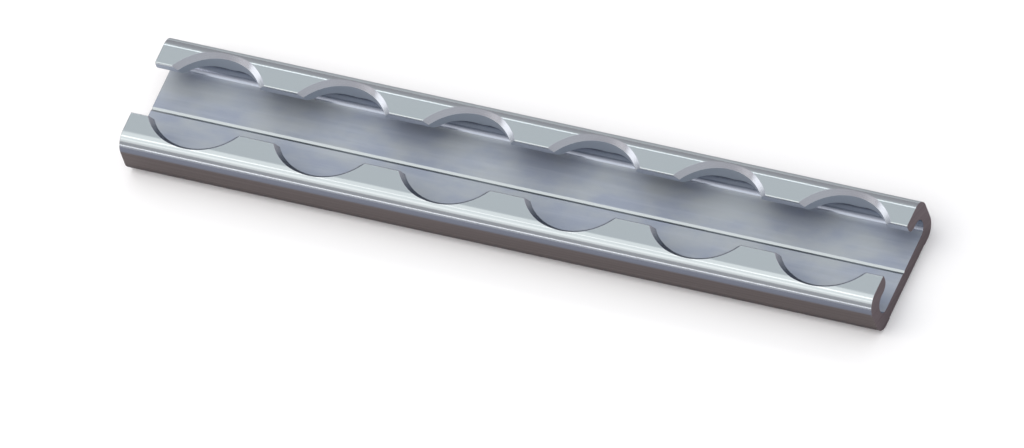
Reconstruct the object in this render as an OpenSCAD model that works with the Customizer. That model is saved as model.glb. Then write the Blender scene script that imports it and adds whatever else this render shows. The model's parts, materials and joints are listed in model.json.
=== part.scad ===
// Airline track: an extruded aluminium tie-down rail with round stud holes on a centre slot.
// All sizes in millimetres. The track lies along X on its base, centred on X and Y, with Z up.

/* [Length and holes] */
// Number of stud holes along the track
hole_count = 6; // [1:1:24]
// Distance from one stud hole to the next
hole_pitch = 25.4; // [24:0.1:60]
// Distance from the centre of an end hole to the cut end
end_margin = 12.7; // [2:0.1:40]
// Diameter of the stud holes
hole_d = 20; // [16:0.1:20.2]
// Width of the flare round the top of a stud hole, measured outwards
flare_w = 0.95; // [0.2:0.05:1.5]
// Depth of the flare, measured down from the top of the lips
flare_h = 0.95; // [0.2:0.05:2]

/* [Outer section] */
// Overall width
track_w = 25.4; // [24.4:0.1:40]
// Overall height
track_h = 9.7; // [9.5:0.1:14]
// Radius of the top shoulders
shoulder_r = 3; // [1:0.1:3.4]
// Radius of the bottom outer edges
base_r = 3; // [0.5:0.1:3.4]
// Width of the shallow relief under the base
relief_w = 16.8; // [8:0.1:18]
// Depth of the shallow relief under the base
relief_h = 0.25; // [0.1:0.05:0.8]

/* [Channel] */
// Thickness of the floor above the feet
floor_t = 2.85; // [2:0.05:3.05]
// Thickness of the lips
lip_t = 2.8; // [2.2:0.05:3]
// Width of the slot between the lips
slot_w = 11.2; // [8:0.1:12.4]
// Width of the channel under the lips
channel_w = 20.3; // [20.2:0.1:22]
// Radius of the channel corners under the lips
channel_top_r = 2; // [0.5:0.1:2.2]
// Radius of the channel corners on the floor
channel_floor_r = 1.8; // [0.5:0.1:2]
// Radius of the upper edge of each lip nose
nose_top_r = 0.3; // [0.1:0.05:0.6]
// Radius of the lower edge of each lip nose
nose_under_r = 1.7; // [0.3:0.1:2.2]
// Width of the centre line groove in the floor
groove_w = 1; // [0.3:0.1:2]
// Depth of the centre line groove in the floor
groove_h = 0.2; // [0.1:0.05:0.8]

/* [Hidden] */
// Facets of a full circle in the preview
$fn = 96;
// Overshoot of a cut past the face that it opens
over = 1;
// Length of the track between its cut ends
track_l = (hole_count - 1) * hole_pitch + 2 * end_margin;
// Height of the underside of the lips
lip_z = track_h - lip_t;
// Height of the middle of the channel, where a stud hole's straight wall ends
channel_mid_z = (floor_t + lip_z) / 2;
// Radius growth of the flare for each unit of height
flare_slope = flare_w / flare_h;

// Waste outside a rounded corner at the origin, on the sides given by the signs sx and sy
module corner_waste(r, sx, sy)
    scale([sx, sy])
        difference() {
            translate([-over, -over]) square(r + over);
            translate([r, r]) circle(r);
        }

// Outer outline of the section, centred on Y, standing on its feet
module outer_outline()
    difference() {
        translate([-track_w / 2, 0]) square([track_w, track_h]);
        for (side = [-1, 1]) {
            translate([side * track_w / 2, 0]) corner_waste(base_r, -side, 1);
            translate([side * track_w / 2, track_h]) corner_waste(shoulder_r, -side, -1);
        }
        translate([-relief_w / 2, -over]) square([relief_w, over + relief_h]);
    }

// Wide channel between the floor and the lips
module channel_outline()
    difference() {
        translate([-channel_w / 2, floor_t]) square([channel_w, lip_z - floor_t]);
        for (side = [-1, 1]) {
            translate([side * channel_w / 2, floor_t]) corner_waste(channel_floor_r, -side, 1);
            translate([side * channel_w / 2, lip_z]) corner_waste(channel_top_r, -side, -1);
        }
    }

// Slot between the lips, with the rounded edges of both noses
module slot_outline() {
    translate([-slot_w / 2, channel_mid_z]) square([slot_w, track_h + over - channel_mid_z]);
    for (side = [-1, 1]) {
        translate([side * slot_w / 2, track_h]) corner_waste(nose_top_r, side, -1);
        translate([side * slot_w / 2, lip_z]) corner_waste(nose_under_r, side, 1);
    }
}

// V groove along the centre line of the floor
module groove_outline()
    translate([0, floor_t])
        polygon([[-groove_w / 2, 0], [-groove_w / 2, over], [groove_w / 2, over], [groove_w / 2, 0], [0, -groove_h]]);

// Extruded section of the track
module section()
    difference() {
        outer_outline();
        channel_outline();
        slot_outline();
        groove_outline();
    }

// Cutter of one stud hole: a straight wall down into the channel, with a flared top
module stud_hole()
    rotate_extrude()
        polygon([
            [0, channel_mid_z],
            [hole_d / 2, channel_mid_z],
            [hole_d / 2, track_h - flare_h],
            [hole_d / 2 + flare_w + over * flare_slope, track_h + over],
            [0, track_h + over]
        ]);

// The whole track, one extrusion with its stud holes cut
module track()
    color([0.68, 0.71, 0.74])
        difference() {
            translate([-track_l / 2, 0, 0])
                rotate([90, 0, 90])
                    linear_extrude(track_l) section();
            for (i = [0 : hole_count - 1])
                translate([(i - (hole_count - 1) / 2) * hole_pitch, 0, 0]) stud_hole();
        }

track();
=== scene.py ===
"""Airline track in bright extruded aluminium, with sides and sawn ends darkened by painted shade, a painted
reflection band on the lower shoulders, and machined stud holes.
"""
import json
import math
from collections import namedtuple

import bpy
import numpy as np
from mathutils import Matrix, Vector


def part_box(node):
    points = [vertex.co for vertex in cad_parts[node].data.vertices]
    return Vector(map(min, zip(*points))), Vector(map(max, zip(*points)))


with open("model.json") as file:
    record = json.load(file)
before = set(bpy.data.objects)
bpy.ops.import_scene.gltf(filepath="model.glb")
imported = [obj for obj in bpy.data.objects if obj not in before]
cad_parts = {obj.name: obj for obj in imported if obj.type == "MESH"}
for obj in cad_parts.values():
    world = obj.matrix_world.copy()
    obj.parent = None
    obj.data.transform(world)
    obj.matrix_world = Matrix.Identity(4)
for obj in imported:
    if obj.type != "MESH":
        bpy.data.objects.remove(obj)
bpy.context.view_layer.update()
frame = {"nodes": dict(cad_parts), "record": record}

MM = 0.001

# The track's own sizes, in millimetres, from the frame and its stated stud holes
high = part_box("track")[1] / MM
HALF_LENGTH = high.x
HALF_WIDTH = high.y
HEIGHT = high.z
stud_holes = [m for m in frame["record"]["mounts"] if m["kind"] == "clamp"]
HOLE_RADIUS = stud_holes[0]["dims"]["r_mm"]
HOLE_X = sorted(m["pos_m"][0] / MM for m in stud_holes)
HOLE_PITCH = HOLE_X[1] - HOLE_X[0]
SHOULDER_RADIUS = 3.0
SHOULDER_FOOT = HEIGHT - SHOULDER_RADIUS
FLARE_DEPTH = 0.95
FLARE_FOOT = HEIGHT - FLARE_DEPTH
FLOOR_TOP = 2.85
LIP_UNDER = 6.9

# Distances from the centre line: where a fillet starts, where the floor's finish ends on it,
# and a place inside the metal behind the channel's wall
FILLET_START = 8.35
FLOOR_EDGE = 9.17
BEHIND_WALL = 10.9

# Centre of the saw blade that cut the ends
BLADE_Y = -45
BLADE_Z = -110

# View of the photograph: a parallel view, turned, tilted and rolled, in degrees and millimetres
VIEW_AZIMUTH = 40.23
VIEW_ELEVATION = 52.11
VIEW_ROLL = -21.43
VIEW_WIDTH = 186.09
VIEW_AIM = (0.04, -7.6, FLOOR_TOP)
VIEW_DISTANCE = 600


def srgb(red, green, blue):
    """Linear colour of a screen colour given in steps of 255."""
    steps = np.array([red, green, blue]) / 255
    linear = np.where(steps <= 0.04045, steps / 12.92, ((steps + 0.055) / 1.055) ** 2.4)
    return (*linear.tolist(), 1.0)


class Wire:
    """A shader socket in an expression: each operator adds one Math node to its tree."""

    def __init__(self, recipe, socket):
        self.recipe = recipe
        self.socket = socket

    def math(self, operation, *others):
        return self.recipe.node("Math", {"operation": operation}, dict(enumerate((self, *others))))

    def __add__(self, other):
        return self.math("ADD", other)

    def __sub__(self, other):
        return self.math("SUBTRACT", other)

    def __rsub__(self, other):
        return self.recipe.node("Math", {"operation": "SUBTRACT"}, {0: other, 1: self})

    def __mul__(self, other):
        return self.math("MULTIPLY", other)

    def __pow__(self, other):
        return self.math("POWER", other)

    def __abs__(self):
        return self.math("ABSOLUTE")

    __radd__ = __add__
    __rmul__ = __mul__

    def at_least(self, other):
        return self.math("MAXIMUM", other)

    def step(self, start, end):
        """Smooth climb from 0 at start to 1 at end."""
        sockets = {"Value": self, "From Min": start, "From Max": end}
        return self.recipe.node("MapRange", {"interpolation_type": "SMOOTHSTEP"}, sockets)

    def below(self, limit, soft):
        """1 below the limit and 0 above it, with an edge this soft on either side."""
        return 1 - self.step(limit - soft, limit + soft)

    def between(self, start, end, soft):
        """1 between start and end, with edges this soft on either side."""
        return self.step(start - soft, start + soft) * self.below(end, soft)


class Recipe:
    """A node tree, written as expressions on its wires."""

    def __init__(self, tree):
        self.tree = tree
        tree.nodes.clear()

    def node(self, kind, settings=None, sockets=None, out=0):
        """Add a node of this kind: its settings first, then the values or wires of its sockets."""
        made = self.tree.nodes.new("ShaderNode" + kind)
        for name, value in (settings or {}).items():
            setattr(made, name, value)
        for name, value in (sockets or {}).items():
            if isinstance(value, Wire):
                self.tree.links.new(value.socket, made.inputs[name])
            else:
                made.inputs[name].default_value = value
        return Wire(self, made.outputs[out]) if made.outputs else made

    def mix(self, mask, below, above):
        """Colour that goes from below to above as the mask goes from 0 to 1."""
        return self.node("Mix", {"data_type": "RGBA"}, {0: mask, 6: below, 7: above}, out=2)

    def clouds(self, point, per_mm, detail):
        """Noise from 0 to 1 at a point, with this many features in a millimetre along X, Y and Z."""
        spot = self.node("VectorMath", {"operation": "MULTIPLY"}, {0: point, 1: per_mm})
        return self.node("TexNoise", {}, {"Vector": spot, "Scale": 1.0, "Detail": detail})

    def lines(self, along, per_mm):
        """Noise from 0 to 1 along one wire, with this many lines in a millimetre."""
        settings = {"noise_dimensions": "1D"}
        return self.node("TexNoise", settings, {"W": along * per_mm, "Scale": 1.0, "Detail": 2.0})


class Place:
    """Where a point of the track lies, in millimetres."""

    def __init__(self, recipe):
        coords = recipe.node("TexCoord", out=3)
        self.point = recipe.node("VectorMath", {"operation": "SCALE"}, {0: coords, "Scale": 1 / MM})
        parts = recipe.node("SeparateXYZ", sockets={0: self.point}).socket.node
        self.x, self.y, self.z = (Wire(recipe, part) for part in parts.outputs)
        self.across = abs(self.y)

    def from_axis(self):
        """Distance from the nearest stud hole's axis."""
        along = (self.x - HOLE_X[0]).math("WRAP", HOLE_PITCH / 2, -HOLE_PITCH / 2)
        return (along * along + self.y * self.y) ** 0.5


def new_recipe(name):
    material = bpy.data.materials.new(name)
    material.use_nodes = True
    return material, Recipe(material.node_tree)


# Where a finish lies, its colour, what it adds to the roughness and what it takes from the metal's share
Finish = namedtuple("Finish", "mask colour rough dull")
BARE_ROUGHNESS = 0.12
FINISH_ROUGHNESS = 0.145

BRIGHT = srgb(175, 182, 185)
FLOOR_GREY = srgb(169, 175, 180)
FLOOR_CLOUD = srgb(153, 161, 176)
FLOOR_STREAK = srgb(190, 197, 208)
CHANNEL_GREY = srgb(165, 172, 184)
GROOVE_GREY = srgb(163, 170, 173)
NOSE_GREY = srgb(164, 172, 185)
WALL_GREY = srgb(160, 169, 180)
FLARE_GREY = srgb(178, 182, 188)
# Painted reflection and painted shade: the blue-grey band stands in for a dark reflection on the lower
# shoulders, and the dark brown sides stand in for a dark reflection of what lies beside them; the streak
# tone varies the sides at random along the die lines.
BAND_PAINTED_REFLECTION = srgb(115, 119, 131)
SIDE_PAINTED_SHADE = srgb(106, 99, 98)
SIDE_SHADE_STREAK = srgb(113, 106, 105)
# Painted shade: the cut ends' dark brown tone stands in for a dark reflection, as on the sides; the lighter
# tone follows the saw marks.
SAWN_SHADE = srgb(98, 87, 90)
SAWN_MARK_SHADE = srgb(107, 96, 99)


def channel_wall(at):
    """Drawn wall of the channel under a lip, with the fillet at its foot."""
    mask = at.across.between(FILLET_START, BEHIND_WALL, 0.05)
    mask = mask * at.z.between(FLOOR_TOP - 0.3, LIP_UNDER - 0.05, 0.05)
    return Finish(mask, CHANNEL_GREY, 0.1, 0.2)


def channel_floor(recipe, at, clouds, streaks):
    """Matte floor with soft clouds and drawn streaks, and the smoother groove along its centre line."""
    mask = at.across.below(FLOOR_EDGE, 0.03) * at.z.between(FLOOR_TOP - 0.3, FLOOR_TOP + 0.2, 0.03)
    colour = recipe.mix(clouds.step(0.3, 0.7), FLOOR_GREY, FLOOR_CLOUD)
    colour = recipe.mix(streaks.step(0.45, 0.7) * 0.15, colour, FLOOR_STREAK)
    groove = mask * at.z.below(FLOOR_TOP - 0.015, 0.005)
    return [Finish(mask - groove, colour, 0.38, 0.65), Finish(groove, GROOVE_GREY, 0.22, 0.0)]


def lip_noses(at):
    """Matte noses and undersides of the lips."""
    mask = at.z.between(LIP_UNDER - 0.15, HEIGHT - 0.32, 0.03) * at.across.below(FILLET_START, 0.05)
    return Finish(mask, NOSE_GREY, 0.38, 0.65)


def stud_hole(at):
    """Machined wall of a stud hole and the brighter flare on top of it."""
    reach = HOLE_RADIUS + (at.z - FLARE_FOOT).at_least(0)
    mask = abs(at.from_axis() - reach).below(0.075, 0.025) * at.z.step(LIP_UNDER - 2.1, LIP_UNDER - 2.0)
    mask = mask * at.across.below(HALF_WIDTH - 1.45, 0.05)
    flare = mask * at.z.step(FLARE_FOOT - 0.03, FLARE_FOOT + 0.03)
    return [Finish(mask - flare, WALL_GREY, 0.25, 0.65), Finish(flare, FLARE_GREY, 0.08, 0.0)]


def outer_side(recipe, at, die_lines):
    """Rougher feet and walls in a dark brown tone that is painted shade, with a painted blue-grey reflection
    band, which give way to the bright metal over the lower shoulders.
    """
    outside = at.across.step(HALF_WIDTH - 1.9, HALF_WIDTH - 1.7)
    low_part = at.z.below(FLOOR_TOP - 0.325, 0.025)
    mask = (outside * at.z.below(SHOULDER_FOOT + 1.45, 0.25)).at_least(low_part)
    # Painted shade: the dark brown wall tone, streaked along the die lines.
    wall = recipe.mix(die_lines.step(0.35, 0.65), SIDE_PAINTED_SHADE, SIDE_SHADE_STREAK)
    # Painted reflection: a blue-grey band over the lower shoulders.
    colour = recipe.mix(at.z.step(SHOULDER_FOOT - 0.1, SHOULDER_FOOT + 0.5), wall, BAND_PAINTED_REFLECTION)
    return Finish(mask, colour, 0.14, 0.0)


def cut_end(recipe, at, saw_marks):
    """Cut ends, with the marks of the saw, in a dark brown tone that is painted shade."""
    mask = abs(at.x).step(HALF_LENGTH - 0.04, HALF_LENGTH - 0.02)
    # Painted shade: the cut ends' dark brown tone, lighter along the saw marks.
    return Finish(mask, recipe.mix(saw_marks.step(0.3, 0.7), SAWN_SHADE, SAWN_MARK_SHADE), 0.3, 0.4)


def track_finish():
    """Aluminium whose finish follows the place: extruded faces, sides and sawn ends darkened by painted
    shade, and machined holes.
    """
    material, recipe = new_recipe("bright_aluminium")
    at = Place(recipe)
    die_lines = recipe.clouds(at.point, (0.012, 4.0, 4.0), 3.0)
    clouds = recipe.clouds(at.point, (0.12, 0.22, 0.22), 4.0)
    streaks = recipe.clouds(at.point, (0.045, 0.9, 0.9), 3.0)
    tool_rings = recipe.lines(at.z, 4.0)
    blade_y = at.y - BLADE_Y
    blade_z = at.z - BLADE_Z
    saw_marks = recipe.lines((blade_y * blade_y + blade_z * blade_z) ** 0.5, 1.6)

    wall, flare = stud_hole(at)
    end = cut_end(recipe, at, saw_marks)
    finishes = [
        channel_wall(at),
        *channel_floor(recipe, at, clouds, streaks),
        lip_noses(at),
        wall,
        flare,
        outer_side(recipe, at, die_lines),
        end,
    ]
    colour = BRIGHT
    bare = 1 - end.mask
    roughness = BARE_ROUGHNESS + die_lines * 0.05
    metallic = 1.0
    for finish in finishes:
        colour = recipe.mix(finish.mask, colour, finish.colour)
        roughness = roughness * (1 - finish.mask) + finish.mask * (FINISH_ROUGHNESS + finish.rough)
        metallic = metallic * (1 - finish.mask) + finish.mask * (1 - finish.dull)
    height = die_lines * bare + saw_marks * end.mask * 6 + tool_rings * (wall.mask + flare.mask) * 3
    bump = recipe.node("Bump", {}, {"Strength": 0.06, "Distance": 0.02 * MM, "Height": height})
    shader = recipe.node("BsdfPrincipled", {}, {
        "Base Color": colour,
        "Metallic": metallic,
        "Roughness": roughness,
        "Specular Tint": (0.45, 0.45, 0.47, 1.0),
        "Normal": bump,
    })
    recipe.node("OutputMaterial", {}, {"Surface": shader})
    return material


def studio_floor():
    """Flat square floor under the track, wide enough to fill every view."""
    reach = 2.0
    corners = np.array([[-1, -1], [1, -1], [1, 1], [-1, 1]]) * reach
    mesh = bpy.data.meshes.new("floor")
    mesh.from_pydata([(*corner, 0.0) for corner in corners.tolist()], [], [(0, 1, 2, 3)])
    floor = bpy.data.objects.new("floor", mesh)
    bpy.context.scene.collection.objects.link(floor)
    material, recipe = new_recipe("white_floor")
    shader = recipe.node("BsdfDiffuse", {}, {"Color": (1.0, 1.0, 1.0, 1.0)})
    recipe.node("OutputMaterial", {}, {"Surface": shader})
    mesh.materials.append(material)


def softbox(name, centre, width, height, radiance, tint=(1, 1, 1)):
    """Rectangular lamp facing the track, width along X where it can be, as bright as the radiance says."""
    lamp = bpy.data.lights.new(name, "AREA")
    lamp.shape = "RECTANGLE"
    lamp.size = width
    lamp.size_y = height
    lamp.color = tint
    lamp.energy = radiance * math.pi * width * height
    back = Vector(centre).normalized()
    right = Vector((0, 0, 1)).cross(back).normalized()
    if abs(back.x) < 0.7:
        right = Vector((1, 0, 0))
    right = (right - back * right.dot(back)).normalized()
    up = back.cross(right)
    box = bpy.data.objects.new(name, lamp)
    turn = Matrix((right, up, back)).transposed().to_4x4()
    box.matrix_world = Matrix.Translation(centre) @ turn
    box.visible_camera = False
    bpy.context.scene.collection.objects.link(box)


def around(along, angle, distance):
    """Point this far along the track and from its axis, at an angle from straight up towards -Y."""
    turn = math.radians(angle)
    return (along, -distance * math.sin(turn), distance * math.cos(turn))


def studio_light():
    """Broad softbox overhead, thin strips along both sides and one softbox off the left end."""
    warm = (1.0, 0.94, 0.88)
    shift = -0.345
    softbox("overhead", around(-0.45, 18, 0.8), 1.3, 1.1, 0.6, warm)
    softbox("overhead_tube", around(shift, 13.3, 0.78), 1.1, 0.09, 1.4, warm)
    softbox("near_tube", around(shift, 34.5, 0.78), 1.1, 0.09, 0.45, warm)
    softbox("near_strip", around(shift, 80.3, 0.8), 1.2, 0.065, 2.1, (1.0, 0.96, 1.0))
    softbox("far_strip", around(shift, -40.7, 0.8), 1.2, 0.05, 2.6)
    softbox("left_end", (-0.9, -0.06, 0.12), 0.66, 0.24, 1.7)
    world = bpy.data.worlds.new("studio")
    bpy.context.scene.world = world
    world.use_nodes = True
    recipe = Recipe(world.node_tree)
    direction = recipe.node("TexCoord")
    height = recipe.node("SeparateXYZ", sockets={0: direction}, out=2)
    sky = recipe.mix(height.step(0.42, 0.84), (0.64, 0.615, 0.645, 1.0), (0.97, 1.0, 1.025, 1.0))
    light = recipe.node("Background", {}, {"Color": sky, "Strength": 1.0})
    recipe.node("OutputWorld", {}, {"Surface": light})


def photo_camera():
    """Parallel camera at the photograph's angle, framing the photograph's width."""
    turn = Matrix.Rotation(math.radians(VIEW_AZIMUTH), 4, "Z")
    tilt = Matrix.Rotation(math.radians(90 - VIEW_ELEVATION), 4, "X")
    roll = Matrix.Rotation(math.radians(VIEW_ROLL), 4, "Z")
    data = bpy.data.cameras.new("photo_camera")
    data.type = "ORTHO"
    data.ortho_scale = VIEW_WIDTH * MM
    data.clip_end = 10.0
    camera = bpy.data.objects.new("photo_camera", data)
    aim = Matrix.Translation(Vector(VIEW_AIM) * MM)
    back = Matrix.Translation((0, 0, VIEW_DISTANCE * MM))
    camera.matrix_world = aim @ turn @ tilt @ roll @ back
    bpy.context.scene.collection.objects.link(camera)
    bpy.context.scene.camera = camera


track = frame["nodes"]["track"]
track.material_slots[0].material = track_finish()
studio_floor()
studio_light()
photo_camera()
bpy.context.scene.view_settings.view_transform = "Standard"
